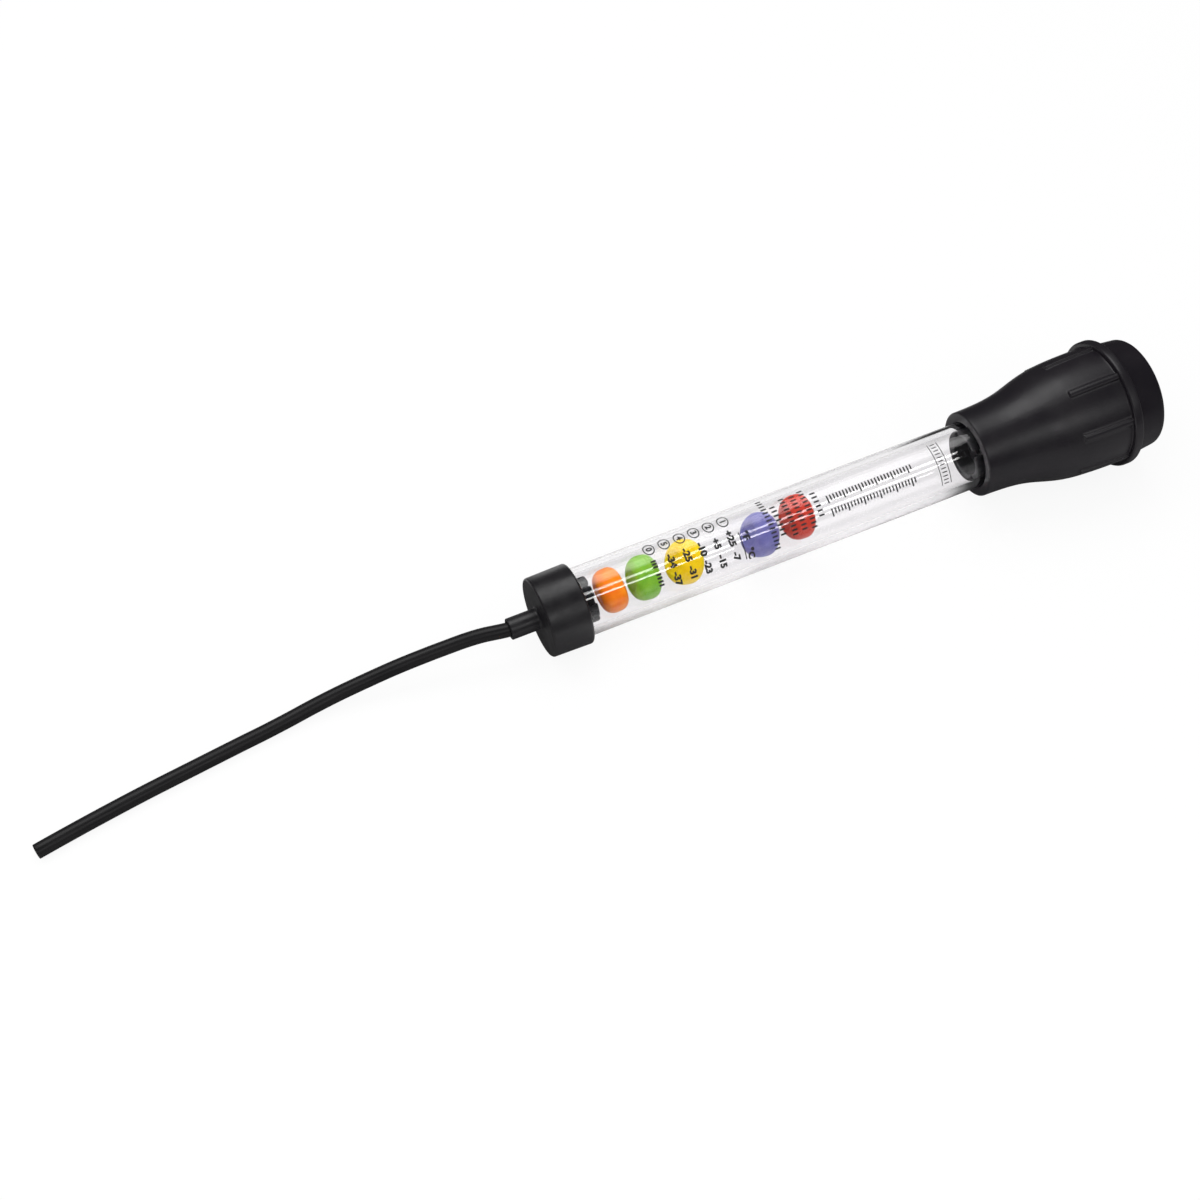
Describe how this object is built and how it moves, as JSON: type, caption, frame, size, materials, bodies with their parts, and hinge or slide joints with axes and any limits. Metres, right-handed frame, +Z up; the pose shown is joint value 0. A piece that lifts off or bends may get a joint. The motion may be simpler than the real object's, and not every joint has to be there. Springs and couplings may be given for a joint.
{
  "type": "antifreeze tester",
  "caption": "Coolant tester: a clear barrel with coloured float discs, an inlet cap with a siphon hose at one end and a ribbed rubber squeeze bulb at the other",
  "frame": {"origin": "centre of the rigid tester's footprint on the surface it lies on; the free hose is left out of this measure", "axes": "X runs from the siphon hose end to the bulb end, Y across the tester, Z up from the surface"},
  "size_m": [0.4481, 0.0508, 0.0509],
  "materials": {
    "black_plastic": "moulded black plastic, satin",
    "clear_plastic": "clear moulded plastic, polished",
    "float_orange": "coloured plastic, satin",
    "float_green": "coloured plastic, satin",
    "float_yellow": "coloured plastic, satin",
    "float_blue": "coloured plastic, satin",
    "float_red": "coloured plastic, satin",
    "black_rubber": "moulded black rubber, matt",
    "hose_rubber": "extruded black rubber, satin"
  },
  "bodies": {
    "tester": {"inlet_cap": "black_plastic", "inlet_strainer": "black_plastic", "barrel": "clear_plastic", "float_stop": "black_plastic", "squeeze_bulb": "black_rubber", "bulb_end_cap": "black_rubber", "siphon_hose": "hose_rubber"},
    "orange_disc": {"float_orange": "float_orange"},
    "green_disc": {"float_green": "float_green"},
    "yellow_disc": {"float_yellow": "float_yellow"},
    "blue_disc": {"float_blue": "float_blue"},
    "red_disc": {"float_red": "float_red"}
  },
  "joints": [
    {"name": "orange_slide", "type": "slide", "parent": "tester", "child": "orange_disc", "axis": [0.9991, 0, 0.0415], "range_m": [-0.0028, 0.0131]},
    {"name": "green_slide", "type": "slide", "parent": "orange_disc", "child": "green_disc", "axis": [0.9991, 0, 0.0415], "range_m": [-0.0024, 0.0131]},
    {"name": "yellow_slide", "type": "slide", "parent": "green_disc", "child": "yellow_disc", "axis": [0.9991, 0, 0.0415], "range_m": [-0.0043, 0.0131]},
    {"name": "blue_slide", "type": "slide", "parent": "yellow_disc", "child": "blue_disc", "axis": [0.9991, 0, 0.0415], "range_m": [-0.0174, 0.0131]},
    {"name": "red_slide", "type": "slide", "parent": "blue_disc", "child": "red_disc", "axis": [0.9991, 0, 0.0415], "range_m": [-0.0036, 0.0131]}
  ]
}
